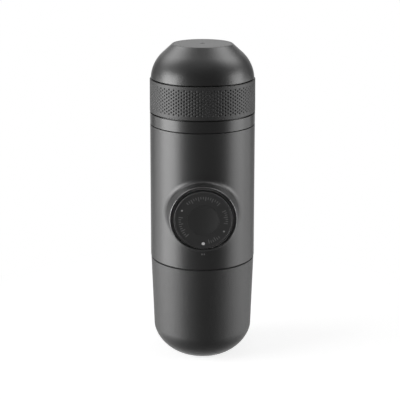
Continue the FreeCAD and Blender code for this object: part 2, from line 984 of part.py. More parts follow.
def needle_plate():
    """A perforated disc with hollow-ground needles that pierce the capsule's lid."""
    low = needle_plate_z
    high = low + needle_plate_thickness
    plate = rod(neck_bore_r - free_gap, low, high)
    for needle in around(
        needle_count, needle_circle_r,
        lambda x, y: Part.makeCone(
            needle_tip_r, needle_r, needle_length, Vector(x, y, low - needle_length)
        ),
    ):
        plate = plate.fuse(needle)
    for hole in around(
        spray_count, spray_circle_r, lambda x, y: rod(spray_hole_r, low - past, high + past, x, y)
    ):
        plate = plate.cut(hole)
    return plate.removeSplitter()


def brew_seal():
    """The flat washer between the needle plate and the capsule's rim."""
    return ring(pocket_r, capsule_rim_r - flange_width, seal_z, seal_z + brew_seal_thickness)


def capsule_holder():
    """A tapered basket with a flange, a seat for the capsule's rim and a drilled floor."""
    outer_top = basket_top_r + basket_wall
    outer_low = basket_low_r + basket_wall
    floor_top = basket_z + basket_floor
    rim_seat = flange_top - capsule_rim
    holder = turned(
        (0, basket_z),
        (outer_low - edge_break, basket_z),
        (outer_low, basket_z + edge_break),
        (outer_top, flange_z),
        (flange_r, flange_z),
        (flange_r, flange_top),
        (capsule_rim_r + free_gap, flange_top),
        (capsule_rim_r + free_gap, rim_seat),
        (basket_top_r, rim_seat),
        (basket_low_r, floor_top),
        (0, floor_top),
    )
    low = basket_z - past
    high = floor_top + past
    holder = holder.cut(rod(spout_bore_r, low, high))
    for hole in around(drain_count, drain_circle_r, lambda x, y: rod(drain_r, low, high, x, y)):
        holder = holder.cut(hole)
    return holder


def arc_into_wall(wall_r, base_r, base_z, height):
    """The point halfway along an arc that rises from a base and meets an upright wall
    smoothly at a height above the base."""
    width = wall_r - base_r
    radius = (width ** 2 + height ** 2) / (2 * width)
    half_turn = math.atan2(height, radius - width) / 2
    middle_r = wall_r - radius + radius * math.cos(half_turn)
    return middle_r, base_z + height - radius * math.sin(half_turn)


def outlet_head():
    """A round-bottomed head with a ledge for the holder, a spout and finger flutes."""
    outer_mid = arc_into_wall(head_r, head_base_r, head_z, head_round)
    inner_mid = arc_into_wall(ledge_r, head_funnel_r, head_inside_z, head_round_inner)
    head = turned(
        (spout_bore_r, spout_z),
        (spout_r - edge_break, spout_z),
        (spout_r, spout_z + edge_break),
        (spout_r, head_z - spout_collar),
        (head_base_r, head_z),
        [outer_mid, (head_r, head_z + head_round)],
        (head_r, head_top),
        (pocket_r, head_top),
        (pocket_r, flange_z - stack_gap),
        (ledge_r, flange_z - stack_gap),
        (ledge_r, head_inside_z + head_round_inner),
        [inner_mid, (head_funnel_r, head_inside_z)],
        (spout_bore_r, head_inside_z - head_funnel),
    )
    reach = head_r + flute_r - flute_depth
    for flute in around(
        flute_count, reach, lambda x, y: rod(flute_r, spout_z, neck_z - flute_margin, x, y)
    ):
        head = head.cut(flute)
    return head


nodes = {
    "cup_shell": cup_shell,
    "main_housing": main_housing,
    "collar_ring": collar_ring,
    "knob_guide": knob_guide,
    "guide_screws": guide_screws,
    "pump_carrier": pump_carrier,
    "pump_cylinder": pump_cylinder,
    "cylinder_cap": cylinder_cap,
    "return_spring": return_spring,
    "knob_shell": knob_shell,
    "knob_face": knob_face,
    "knob_dots": knob_dots,
    "plunger_rod": plunger_rod,
    "piston_seal": piston_seal,
    "knob_screw": knob_screw,
    "valve_block": valve_block,
    "inlet_seat": inlet_seat,
    "inlet_poppet": lambda: poppet(inlet_seat_z),
    "inlet_spring": lambda: valve_spring(inlet_seat_z),
    "outlet_plug": outlet_plug,
    "outlet_poppet": lambda: poppet(outlet_seat_z),
    "outlet_spring": lambda: valve_spring(outlet_seat_z),
    "feed_tube": feed_tube,
    "brew_tube": brew_tube,
    "tank_bulkhead": tank_bulkhead,
    "intake_filter": intake_filter,
    "vent_valve": vent_valve,
    "tank_shell": tank_shell,
    "tank_grip_ring": tank_grip_ring,
    "tank_top_disc": tank_top_disc,
    "tank_seal": tank_seal,
    "brew_neck": brew_neck,
    "cup_seal": cup_seal,
    "needle_plate": needle_plate,
    "brew_seal": brew_seal,
    "capsule_holder": capsule_holder,
    "outlet_head": outlet_head,
}

os.makedirs("parts", exist_ok=True)
for name, make in nodes.items():
    shape = make()
    shape.exportStep("parts/" + name + ".step")
    print(name, len(shape.Solids), shape.isValid(), round(shape.Volume, 1))
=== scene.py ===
"""Looks of the handheld manual espresso maker, in metres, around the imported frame.

Every new surface is worked out as whole arrays: a closed outline turned about an axis, the
housing's skin as a strip carried round the pump's axis, or a wire carried along a helix.
Outlines run anticlockwise in (radius, level), so that faces point outwards.
"""
import json
import math

import bmesh
import bpy
import numpy as np
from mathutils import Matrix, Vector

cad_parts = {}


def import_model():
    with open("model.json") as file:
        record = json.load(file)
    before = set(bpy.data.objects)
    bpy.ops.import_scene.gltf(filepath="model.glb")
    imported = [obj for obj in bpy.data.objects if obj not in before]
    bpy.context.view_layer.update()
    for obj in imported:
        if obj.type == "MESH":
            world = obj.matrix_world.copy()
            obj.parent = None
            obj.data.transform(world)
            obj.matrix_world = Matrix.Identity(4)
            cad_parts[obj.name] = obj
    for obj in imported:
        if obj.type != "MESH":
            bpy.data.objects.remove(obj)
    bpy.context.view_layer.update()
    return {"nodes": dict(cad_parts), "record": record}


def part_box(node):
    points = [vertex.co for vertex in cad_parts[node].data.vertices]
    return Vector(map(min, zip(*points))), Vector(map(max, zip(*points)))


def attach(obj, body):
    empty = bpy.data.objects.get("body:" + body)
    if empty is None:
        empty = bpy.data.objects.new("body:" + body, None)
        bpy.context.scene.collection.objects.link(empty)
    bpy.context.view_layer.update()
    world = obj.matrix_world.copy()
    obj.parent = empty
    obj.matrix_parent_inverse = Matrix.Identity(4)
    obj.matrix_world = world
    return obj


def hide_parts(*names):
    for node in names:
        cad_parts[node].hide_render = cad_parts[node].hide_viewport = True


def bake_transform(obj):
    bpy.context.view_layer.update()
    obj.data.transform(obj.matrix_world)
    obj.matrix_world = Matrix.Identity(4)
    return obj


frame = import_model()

MM = 0.001
TURN = 2 * math.pi


# Sizes read from the frame

def low(node):
    """The lowest corner of a node's box."""
    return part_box(node)[0]


def high(node):
    """The highest corner of a node's box."""
    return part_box(node)[1]


cup_top = high("cup_shell").z
cup_r = high("cup_shell").x
housing_low = low("main_housing").z
housing_top = high("main_housing").z
housing_foot_r = high("main_housing").x
boss_front = -low("main_housing").y
collar_top = high("collar_ring").z
collar_low = low("collar_ring").z
body_r = high("collar_ring").x
grip_low = low("tank_grip_ring").z
grip_top = high("tank_grip_ring").z
grip_r = high("tank_grip_ring").x
tank_low = low("tank_shell").z
tank_top = high("tank_shell").z
disc_low = low("tank_top_disc").z
disc_r = high("tank_top_disc").x
knob_r = high("knob_shell").x
knob_front = -low("knob_shell").y
knob_back = -high("knob_shell").y
face_level = -low("knob_face").y
insert_low = -high("knob_face").y
insert_r = high("knob_face").x
pump_z = (low("knob_shell").z + high("knob_shell").z) / 2
guide_flange_r = high("knob_guide").z - pump_z
basket_low = low("capsule_holder").z
head_low = low("outlet_head").z
head_top = high("outlet_head").z
head_r = high("outlet_head").x
neck_low = low("brew_neck").z

# Walls, gaps and the shadow gaps between the stacked pieces
body_wall = 2.2 * MM
collar_wall = 3.1 * MM
seam = 0.15 * MM
seat_gap = 0.05 * MM
gap_height = 0.6 * MM
gap_depth = 1.4 * MM

# Roundings that several pieces share, from soft to crisp
soft_edge = 0.3 * MM
edge = 0.22 * MM
fine_edge = 0.12 * MM
crisp_edge = 0.1 * MM
seat_edge = 0.08 * MM
insert_edge = 0.04 * MM


# Outlines

def rounded(corners, steps=6):
    """A closed outline whose corners (radius, level, rounding) are arcs: the arc's centre lies
    on the bisector at rounding / cos(half the turn), and its points swing between the two
    ends in equal angles."""
    points = []
    for index, (radius, level, rounding) in enumerate(corners):
        here = np.array((radius, level))
        if rounding <= 0:
            points.append(here[None])
            continue
        before = np.array(corners[index - 1][:2]) - here
        after = np.array(corners[(index + 1) % len(corners)][:2]) - here
        before /= np.linalg.norm(before)
        after /= np.linalg.norm(after)
        turn = math.acos(np.clip(-(before @ after), -1, 1))
        reach = rounding * math.tan(turn / 2)
        inward = (before + after) / np.linalg.norm(before + after)
        centre = here + inward * rounding / math.cos(turn / 2)
        first = here + before * reach - centre
        last = here + after * reach - centre
        share = np.linspace(0, 1, steps + 1)[:, None]
        swing = np.sin((1 - share) * turn) * first + np.sin(share * turn) * last
        points.append(centre + swing / math.sin(turn))
    return np.concatenate(points)


def arc(centre, radius, start, end, steps):
    """Points of an arc in equal angles: centre + radius * (cos a, sin a)."""
    angle = np.linspace(start, end, steps + 1)
    return np.array(centre) + radius * np.stack([np.cos(angle), np.sin(angle)], axis=1)


def eased(outline, closed=True):
    """The same outline with two more points on each long run, one close to each end, which
    keep the shading flat between rounded corners."""
    close = 0.12 * MM
    after = np.roll(outline, -1, axis=0)
    run = after - outline
    length = np.linalg.norm(run, axis=1)
    long_run = length > 4 * close
    if not closed:
        long_run[-1] = False
    share = (close / np.maximum(length, close))[:, None]
    three = np.stack([outline, outline + run * share, after - run * share], axis=1)
    keep = np.stack([np.ones(len(outline), bool), long_run, long_run], axis=1)
    return three[keep]


def nearest(outline, point):
    """The index of an outline's point that lies nearest to another."""
    return int(np.argmin(np.linalg.norm(outline - np.array(point), axis=1)))


def divided(outline, start, end, count):
    """The same outline with evenly spaced points added along one of its runs."""
    share = np.linspace(0, 1, count + 2)[1:-1, None]
    first = nearest(outline, start)
    points = np.array(start) * (1 - share) + np.array(end) * share
    return np.concatenate([outline[:first + 1], points, outline[first + 1:]])


# Surfaces

def swept(outline, angle, relief=None):
    """An outline carried about Z: point (i, j) is the outline's point i at angle j, at
    (r cos a, r sin a, z), with r changed by relief(angle, level, radius) if there is one."""
    radius = outline[:, :1] + 0 * angle
    level = outline[:, 1:] + 0 * angle
    angle = angle + 0 * radius
    if relief is not None:
        radius = relief(angle, level, radius)
    return np.stack([radius * np.cos(angle), radius * np.sin(angle), level], axis=-1)


def turned(outline, turns=192, relief=None):
    """An outline carried all the way round in equal angles."""
    return swept(outline, np.linspace(0, TURN, turns, endpoint=False), relief)


def on_pump_axis(points):
    """Lay upright points on the pump's axis, their top facing -Y."""
    return np.stack([points[..., 0], -points[..., 2], points[..., 1] + pump_z], axis=-1)


def block(loop, sink, height):
    """The rings of a closed block on a flat loop of corners, each with its height over the
    surface: the loop's middle and the loop at the foot, the loop and its middle on top."""
    middle = np.repeat(loop.mean(axis=0)[None], len(loop), axis=0)
    return (middle, -sink), (loop, -sink), (loop, height), (middle, height)


def quads(rows, columns, first, closed_rows, closed_columns):
    """Corners of the faces of a grid of points, columns before rows."""
    row = np.arange(rows if closed_rows else rows - 1)[:, None]
    column = np.arange(columns if closed_columns else columns - 1)[None]
    next_row = (row + 1) % rows * columns
    next_column = (column + 1) % columns
    here = row * columns
    corners = [here + column, here + next_column, next_row + next_column, next_row + column]
    return np.stack([corner + 0 * row for corner in corners], axis=-1).reshape(-1, 4) + first


weld_distance = 0.001 * MM
crease_angle = math.radians(42)


def piece(name, grids, body, material, replaced=()):
    """A mesh from grids of (points, rows closed, columns closed), its seams and poles welded,
    riding on a body if one is named."""
    points, faces, first = [], [], 0
    for grid, closed_rows, closed_columns in grids:
        rows, columns = grid.shape[:2]
        faces.append(quads(rows, columns, first, closed_rows, closed_columns))
        points.append(grid.reshape(-1, 3))
        first += rows * columns
    mesh = bpy.data.meshes.new(name)
    mesh.from_pydata(np.concatenate(points).tolist(), [], np.concatenate(faces).tolist())
    work = bmesh.new()
    work.from_mesh(mesh)
    bmesh.ops.remove_doubles(work, verts=work.verts, dist=weld_distance)
    work.to_mesh(mesh)
    work.free()
    mesh.shade_smooth()
    mesh.set_sharp_from_angle(angle=crease_angle)
    mesh.materials.append(material)
    made = bpy.data.objects.new(name, mesh)
    bpy.context.scene.collection.objects.link(made)
    if body:
        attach(made, body)
    if replaced:
        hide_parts(*replaced)
    return made


# Shared finish: one node group for satin surfaces

def set_inputs(node, values):
    """Set a node's inputs by their labels."""
    for label, value in values.items():
        node.inputs[label].default_value = value


def new_group(name, inputs, outputs):
    """A node group with inputs (label, kind, value) and outputs (label, kind), and its two
    end nodes."""
    group = bpy.data.node_groups.new(name, "ShaderNodeTree")
    for label, kind, value in inputs:
        socket = group.interface.new_socket(label, in_out="INPUT", socket_type=kind)
        socket.default_value = value
    for label, kind in outputs:
        group.interface.new_socket(label, in_out="OUTPUT", socket_type=kind)
    enter = group.nodes.new("NodeGroupInput")
    leave = group.nodes.new("NodeGroupOutput")
    return group, enter, leave


def math_node(tree, operation, first, second, clamp=False):
    """A math node; its inputs are numbers or sockets."""
    node = tree.nodes.new("ShaderNodeMath")
    node.operation = operation
    node.use_clamp = clamp
    for index, value in enumerate((first, second)):
        if isinstance(value, bpy.types.NodeSocket):
            tree.links.new(value, node.inputs[index])
        else:
            node.inputs[index].default_value = value
    return node.outputs[0]


def scaled(tree, colour, factor):
    """A colour times a factor, both of them sockets."""
    node = tree.nodes.new("ShaderNodeVectorMath")
    node.operation = "SCALE"
    tree.links.new(colour, node.inputs[0])
    tree.links.new(factor, node.inputs["Scale"])
    return node.outputs[0]


def satin_group():
    """Colour, roughness and height of a fine-grained surface with soft handling marks: the
    colour varies with grain and marks, the roughness with the marks, the height is the grain."""
    group, enter, leave = new_group(
        "satin finish",
        [
            ("Colour", "NodeSocketColor", (0.2, 0.2, 0.2, 1)),
            ("Variation", "NodeSocketFloat", 0.06),
            ("Roughness", "NodeSocketFloat", 0.4),
            ("Handling", "NodeSocketFloat", 0.06),
            ("Grain Scale", "NodeSocketFloat", 2600.0),
        ],
        [
            ("Colour", "NodeSocketColor"),
            ("Roughness", "NodeSocketFloat"),
            ("Height", "NodeSocketFloat"),
        ],
    )
    nodes, links = group.nodes, group.links
    place = nodes.new("ShaderNodeTexCoord")
    grain = nodes.new("ShaderNodeTexNoise")
    set_inputs(grain, {"Detail": 3.0, "Roughness": 0.6})
    links.new(place.outputs["Object"], grain.inputs["Vector"])
    links.new(enter.outputs["Grain Scale"], grain.inputs["Scale"])
    marks = nodes.new("ShaderNodeTexNoise")
    set_inputs(marks, {"Scale": 38.0, "Detail": 4.0})
    links.new(place.outputs["Object"], marks.inputs["Vector"])
    marks_level = math_node(group, "SUBTRACT", marks.outputs["Fac"], 0.5)
    grain_level = math_node(group, "SUBTRACT", grain.outputs["Fac"], 0.5)
    change = math_node(group, "MULTIPLY", marks_level, enter.outputs["Handling"])
    rough = math_node(group, "ADD", enter.outputs["Roughness"], change, clamp=True)
    both = math_node(group, "ADD", marks_level, grain_level)
    tint = math_node(group, "MULTIPLY", both, enter.outputs["Variation"])
    colour = scaled(group, enter.outputs["Colour"], math_node(group, "ADD", tint, 1.0))
    links.new(colour, leave.inputs["Colour"])
    links.new(rough, leave.inputs["Roughness"])
    links.new(grain.outputs["Fac"], leave.inputs["Height"])
    return group


satin = satin_group()
# Painted shade: the share of the base colour taken away at the middle of a dimple
pit_painted_shade = 0.85


def finish(name, grey, roughness, metallic=0.0, grain=2600.0, bump=0.02 * MM, shade_attribute=None,
           sheen=0.0, coat=0.0, specular=0.5):
    """A satin material: grain is how many grains lie in a metre, bump how high they stand, and
    shade_attribute names the attribute that paints shade into its colour inside its dimples."""
    material = bpy.data.materials.new(name)
    material.use_nodes = True
    tree = material.node_tree
    nodes, links = tree.nodes, tree.links
    shader = nodes["Principled BSDF"]
    set_inputs(shader, {
        "Metallic": metallic, "Specular IOR Level": specular,
        "Sheen Weight": sheen, "Sheen Roughness": 0.3,
        "Coat Weight": coat, "Coat Roughness": 0.08, "Coat IOR": 1.8,
    })
    surface = nodes.new("ShaderNodeGroup")
    surface.node_tree = satin
    set_inputs(surface, {
        "Colour": (grey, grey, grey, 1.0), "Roughness": roughness, "Grain Scale": grain,
    })
    colour = surface.outputs["Colour"]
    # Painted shade: the colour is darkened inside the dimples by the named attribute
    if shade_attribute:
        attribute = nodes.new("ShaderNodeAttribute")
        attribute.attribute_name = shade_attribute
        painted_shade = math_node(tree, "MULTIPLY", attribute.outputs["Fac"], -pit_painted_shade)
        colour = scaled(tree, colour, math_node(tree, "ADD", painted_shade, 1.0))
    relief = nodes.new("ShaderNodeBump")
    set_inputs(relief, {"Strength": 1.0, "Distance": bump})
    links.new(surface.outputs["Height"], relief.inputs["Height"])
    links.new(colour, shader.inputs["Base Color"])
    links.new(surface.outputs["Roughness"], shader.inputs["Roughness"])
    links.new(relief.outputs["Normal"], shader.inputs["Normal"])
    return material


housing_grey = finish("housing grey", 0.022, 0.36, grain=1700.0, bump=0.04 * MM)
cup_grey = finish("cup grey", 0.014, 0.5, grain=1700.0, bump=0.1 * MM, specular=0.6, sheen=0.25)
collar_grey = finish("collar grey", 0.020, 0.29, bump=0.006 * MM)
tank_grey = finish("tank grey", 0.020, 0.32, grain=2000.0, bump=0.028 * MM)
# The grip's dimples get painted shade in their colour
grip_grey = finish("grip grey", 0.024, 0.48, bump=0.012 * MM, shade_attribute="painted_pit_shade", specular=0.42)
disc_grey = finish("disc grey", 0.030, 0.36, bump=0.008 * MM)
knob_black = finish("knob black", 0.021, 0.52, grain=3200.0)
lip_black = finish("lip black", 0.04, 0.14, bump=0.002 * MM, coat=0.5)
insert_black = finish("insert black", 0.0165, 0.55, grain=3200.0)
mark_white = finish("mark white", 0.55, 0.4, bump=0.005 * MM)
mark_pale = finish("mark pale", 0.3, 0.4, bump=0.005 * MM)
mark_grey = finish("mark grey", 0.11, 0.5, bump=0.005 * MM)
index_grey = finish("index grey", 0.15, 0.5, bump=0.005 * MM)
inner_black = finish("inner black", 0.06, 0.55, bump=0.03 * MM)
# Painted light: the guide is much paler than inner black so that the shaded gap round the knob
# looks lit
guide_painted_light = finish("guide grey with painted light", 0.25, 0.55, bump=0.03 * MM)
head_black = finish("head black", 0.02, 0.42, bump=0.03 * MM)
basket_grey = finish("basket grey", 0.06, 0.4)
steel = finish("steel", 0.62, 0.28, metallic=1.0, bump=0.005 * MM)
tube_milk = finish("milky tube", 0.72, 0.35, bump=0.005 * MM)
rubber = finish("rubber", 0.02, 0.62)

by_slot = {
    "housing_grey": housing_grey, "cup_grey": cup_grey, "collar_grey": collar_grey,
    "tank_grey": tank_grey, "grip_grey": grip_grey, "disc_grey": disc_grey,
    "knob_black": knob_black, "knob_insert": insert_black, "mark_white": mark_white,
    "inner_black": inner_black, "head_black": head_black, "basket_grey": basket_grey,
    "steel": steel, "tube_clear": tube_milk, "seal_rubber": rubber,
}


def dress(node, material):
    """Give one of the frame's nodes its material."""
    for place in frame["nodes"][node].material_slots:
        place.material = material


for part in frame["record"]["subparts"]:
    dress(part["node"], by_slot[part["material_slot"]])

# The guide is painted paler than the other inner pieces, as painted light in the shaded gap
# round the knob
dress("knob_guide", guide_painted_light)


# Cup

cup_wall = 1.6 * MM
cup_floor = 2.2 * MM
cup_foot_r = 11.6 * MM
cup_taper = 1.3 * MM
cup_rim_edge = 0.5 * MM
bowl_top = 16.5 * MM
bowl_power = 1.65
bowl_steps = 20


def bowl(foot_r, wall_r, low_z, high_z):
    """The bowl's quarter superellipse from its foot to the wall: the radius follows the sine
    and the level the cosine of one angle, both raised to 2 / bowl_power."""
    angle = np.linspace(0, math.pi / 2, bowl_steps + 1)
    power = 2 / bowl_power
    radius = foot_r + (wall_r - foot_r) * np.sin(angle) ** power
    level = low_z + (high_z - low_z) * (1 - np.clip(np.cos(angle), 0, 1) ** power)
    return np.stack([radius, level], axis=1)


def cup():
    """From the middle of the base over the bowl and the tapered wall to the rounded rim, and
    back down inside."""
    wall_r = cup_r - cup_taper
    rim = rounded([
        (cup_r, cup_top, edge),
        (cup_r - cup_wall, cup_top, cup_rim_edge),
        (wall_r - cup_wall, bowl_top, 0),
        (wall_r, bowl_top, 0),
    ])[:-2]
    outside = bowl(cup_foot_r, wall_r, 0.0, bowl_top)
    inside = bowl(cup_foot_r - cup_floor / 2, wall_r - cup_wall, cup_floor, bowl_top)[::-1]
    outline = np.concatenate([[(0, 0)], outside, rim, inside, [(0, cup_floor)]])
    grid = turned(eased(outline, closed=False))
    piece("cup", [(grid, False, True)], "cup", cup_grey, ["cup_shell"])


cup()


# Housing: the boss's strip fills a patch of the front, and the sleeve closes round it

foot_gap = 0.85 * MM
boss_rim = 0.55 * MM
boss_edge = 0.42 * MM
boss_draft = math.radians(6.7)
boss_fillet = 2.4 * MM
guide_flange_width = 3.5 * MM
well_r = guide_flange_r - guide_flange_width
well_start = 1.5 * MM
housing_bore_r = body_r - body_wall
beside_edge = 0.15 * MM
front_angle = -math.pi / 2
patch_angle = math.radians(55)
patch_half = 24.0 * MM
patch_steps = 40
patch_share = np.arange(patch_steps + 1) / patch_steps * 2 - 1
back_steps = 100
corner_steps = 5
skin_steps = 8
side_steps = 6
fillet_steps = 14
meeting_rounds = 12


def housing_r(level):
    """Outer radius of the sleeve, falling evenly from its foot to its top."""
    share = (level - housing_low) / (housing_top - housing_low)
    return housing_foot_r + (body_r - housing_foot_r) * share


def patch_border():
    """Angle and level of the points round the patch's border, from its lower right corner
    anticlockwise seen from the front, and each side's steps evenly spaced."""
    step = patch_share[:-1]
    one = np.ones(patch_steps)
    angle = np.concatenate([one, -step, -one, step]) * patch_angle
    level = pump_z + np.concatenate([step, one, -step, -one]) * patch_half
    return angle, level


def on_sleeve(flat, inside=False):
    """Points of the sleeve's front, outside or in its bore, straight behind (x, level)."""
    x, level = flat[..., 0], flat[..., 1]
    radius = housing_bore_r if inside else housing_r(level)
    return np.stack([x, -np.sqrt(radius ** 2 - x ** 2), level], axis=-1)


def between(start, end, steps):
    """Rows of points in even steps from one row to another, with both."""
    share = np.linspace(0, 1, steps + 1)[:, None, None]
    return start * (1 - share) + end * share


def boss_strip():
    """From the border of the bore's opening, up the well, over the boss's rim, down its
    tapered side and its fillet, and out to the patch's border. Each point of the border has
    its own spoke round the pump's axis; along it the side is the line r = rim + taper * depth,
    and the fillet is a parabola between that line and the sleeve."""
    angle, level = patch_border()
    taper = math.tan(boss_draft)
    spoke = np.arctan2(level - pump_z, housing_r(level) * np.sin(angle))
    across, up = np.cos(spoke), np.sin(spoke)
    rim_r = well_r + boss_rim

    def flat(radius):
        return np.stack([radius * across, pump_z + radius * up], axis=-1)

    def at(radius, height):
        return np.stack([radius * across, 0 * across - height, pump_z + radius * up], axis=-1)

    def sleeve_height(radius):
        return -on_sleeve(flat(radius))[..., 1]

    # The side meets the sleeve where both have one height; each round comes nearer to it
    meet = np.full_like(spoke, rim_r)
    for _ in range(meeting_rounds):
        meet = rim_r + taper * (boss_front - sleeve_height(meet))

    inner_border = np.stack([housing_bore_r * np.sin(angle), level], axis=-1)
    outer_border = np.stack([housing_r(level) * np.sin(angle), level], axis=-1)
    bore = on_sleeve(between(inner_border, flat(well_r), skin_steps), inside=True)

    run = 3.0 * MM
    corners = rounded([
        (well_r, boss_front - run, 0),
        (well_r, boss_front, fine_edge),
        (rim_r, boss_front, boss_edge),
        (rim_r + taper * run, boss_front - run, 0),
    ])[1:-1]
    down = boss_edge + beside_edge
    section = np.concatenate([
        [(well_r, boss_front - well_start)],
        corners,
        [(rim_r + taper * down, boss_front - down)],
    ])
    rim = at(section[:, :1], section[:, 1:])

    side_end = at(meet - taper * boss_fillet, sleeve_height(meet) + boss_fillet)
    side = between(rim[-1], side_end, side_steps)[1:-1]

    corner = at(meet, sleeve_height(meet))
    fillet_r = meet + boss_fillet
    fillet_end = at(fillet_r, sleeve_height(fillet_r))
    share = np.linspace(0, 1, fillet_steps + 1)[:, None, None]
    fillet = (between(side_end, corner, fillet_steps) * (1 - share)
              + between(corner, fillet_end, fillet_steps) * share)

    skin = on_sleeve(between(flat(fillet_r), outer_border, skin_steps))[1:]
    return np.concatenate([bore, rim, side, fillet, skin])


def sleeve_corners():
    """The sleeve's rounded corners, one row each: the foot over its shadow gap, the top's
    outer edge, and the bore's upper and lower edge."""
    corners = rounded([
        (housing_foot_r, housing_low + foot_gap, fine_edge),
        (body_r, housing_top, edge),
        (housing_bore_r, housing_top, crisp_edge),
        (housing_bore_r, housing_low, crisp_edge),
    ], steps=corner_steps)
    return corners.reshape(-1, corner_steps + 1, 2)


def housing():
    """Round the back the sleeve's whole section is swept, over and under the patch its edges
    alone, and the boss's strip fills the patch."""
    foot, top, bore_top, bore_foot = sleeve_corners()
    levels = pump_z + patch_share * patch_half
    skin = np.stack([housing_r(levels), levels], axis=1)
    bore = np.stack([0 * levels + housing_bore_r, levels], axis=1)[::-1]
    gap_r = housing_foot_r - gap_depth
    under_top = housing_top - edge - beside_edge
    over_bore_foot = housing_low + edge + beside_edge
    over_foot = over_bore_foot + foot_gap
    over = np.concatenate([
        [(housing_r(under_top), under_top)], top, bore_top, [(housing_bore_r, under_top)],
    ])
    under = np.concatenate([
        [(housing_bore_r, over_bore_foot)], bore_foot,
        [(gap_r, housing_low), (gap_r, housing_low + foot_gap)], foot,
        [(housing_r(over_foot), over_foot)],
    ])
    back = front_angle + np.linspace(patch_angle, TURN - patch_angle, back_steps + 1)
    front = front_angle + patch_share * patch_angle
    grids = [
        (swept(np.concatenate([skin, over, bore, under]), back), True, False),
        (swept(np.concatenate([skin[-1:], over, bore[:1]]), front), False, False),
        (swept(np.concatenate([bore[-1:], under, skin[:1]]), front), False, False),
        (boss_strip()[:, ::-1], False, True),
    ]
    piece("housing", grids, "housing", housing_grey, ["main_housing"])


housing()

lip_inset = 0.3 * MM
lip_overhang = 0.1 * MM
lip_depth = 0.9 * MM
lip_proud = 0.03 * MM
lip_edge = 0.45 * MM


def boss_lip():
    """The polished front edge of the boss, a flat ring with round corners."""
    inner_r = well_r - lip_inset
    outer_r = well_r + boss_rim + lip_overhang
    outline = rounded([
        (inner_r, boss_front - lip_depth, 0),
        (outer_r, boss_front - lip_depth, 0),
        (outer_r, boss_front + lip_proud, lip_edge),
        (inner_r, boss_front + lip_proud, soft_edge),
    ], steps=8)
    grid = on_pump_axis(turned(outline, turns=200))
    piece("boss_lip", [(grid, True, True)], "housing", lip_black)


boss_lip()


# Collar

collar_lift = 0.01 * MM
collar_gap = 0.8 * gap_height
collar_edge = 0.15 * MM


def collar():
    """A smooth ring on the housing's top, its spigot in the sleeve, with a shadow gap below
    and above."""
    bore_r = body_r - collar_wall
    spigot_r = housing_bore_r - seat_gap
    gap_r = body_r - gap_depth
    under = housing_top + collar_lift
    foot = housing_top + collar_gap
    shoulder = collar_top - gap_height
    outline = rounded([
        (bore_r, collar_low, soft_edge),
        (spigot_r, collar_low, soft_edge),
        (spigot_r, under, 0),
        (gap_r, under, 0),
        (gap_r, foot, 0),
        (body_r, foot, seat_edge),
        (body_r, shoulder, collar_edge),
        (gap_r, shoulder, 0),
        (gap_r, collar_top, 0),
        (bore_r, collar_top, soft_edge),
    ])
    grid = turned(eased(outline))
    piece("collar", [(grid, True, True)], "housing", collar_grey, ["collar_ring"])


collar()


# Grip ring

grip_wall = 2.6 * MM
grip_taper = 0.18 * MM
dimples_round = 58
dimple_rows = 8
dimple_pitch = 1.87 * MM
dimple_margin = 2.45 * MM
dimple_r = 0.52 * MM
dimple_depth = 0.38 * MM
dimple_phase = front_angle - math.radians(1.25)
columns_per_dimple = 18
rows_per_dimple = 10
plain_margin = 0.2 * MM
wall_tolerance = 0.002 * MM
# How fast the painted shade in a dimple grows with its depth
pit_shade_gain = 1.6


def pit_share(angle, level):
    """How deep a point lies in its nearest dimple, from 0 at its edge to 1 in its middle:
    1 - (distance / radius) squared, over two staggered lattices."""
    pitch = TURN / dimples_round
    first = grip_low + dimple_margin
    best = np.zeros_like(angle)
    for half, rows in ((0.0, dimple_rows), (0.5, dimple_rows - 1)):
        turn = (angle - dimple_phase) / pitch - half
        across = (turn - np.round(turn)) * pitch * grip_r
        row = (level - first) / dimple_pitch - half
        up = (row - np.clip(np.round(row), 0, rows - 1)) * dimple_pitch
        best = np.maximum(best, 1 - (across ** 2 + up ** 2) / dimple_r ** 2)
    return np.clip(best, 0, 1)


def grip_wall_r(level):
    """Outer radius of the ring, falling evenly from its foot to its top."""
    return grip_r - grip_taper * (level - grip_low) / (grip_top - grip_low)


def grip_ring():
    """The ring with its dimples: the wall's radius less their share of the depth. The
    attribute named painted_pit_shade keeps that share, which the finish paints as shade into the
    dimples."""
    bore_r = grip_r - grip_wall
    wall_low, wall_high = grip_low + edge, grip_top - edge
    outline = rounded([
        (bore_r, grip_low, 0),
        (grip_r, grip_low, edge),
        (grip_r - grip_taper, grip_top, edge),
        (bore_r, grip_top, 0),
    ], steps=4)
    row = np.arange(dimple_rows * rows_per_dimple + 1)
    start = grip_low + dimple_margin - dimple_pitch / 2
    level = np.concatenate([
        [wall_low + plain_margin],
        start + row * dimple_pitch / rows_per_dimple,
        [wall_high - plain_margin],
    ])
    wall = np.stack([grip_wall_r(level), level], axis=1)
    first = int(np.argmax(outline[:, 1] > wall_high - edge))
    outline = np.concatenate([outline[:first], wall, outline[first:]])

    def relief(angle, level, radius):
        outer = np.abs(radius - grip_wall_r(level)) < wall_tolerance
        return radius - np.where(outer, pit_share(angle, level) * dimple_depth, 0)

    grid = turned(outline, dimples_round * columns_per_dimple, relief)
    made = piece("grip_ring", [(grid, True, True)], "tank", grip_grey,
                 ["tank_grip_ring"])
    # The dimples' depth share, kept as an attribute for the painted shade in the finish
    place = np.empty(len(made.data.vertices) * 3)
    made.data.vertices.foreach_get("co", place)
    x, y, z = place.reshape(-1, 3).T
    outer = np.hypot(x, y) > grip_r - grip_taper - dimple_depth - edge
    share = np.where(outer, pit_share(np.arctan2(y, x), z), 0)
    painted_pit_shade = made.data.attributes.new("painted_pit_shade", "FLOAT", "POINT")
    painted_pit_shade.data.foreach_set("value", np.clip(share * pit_shade_gain, 0, 1))


grip_ring()


# Tank and its disc

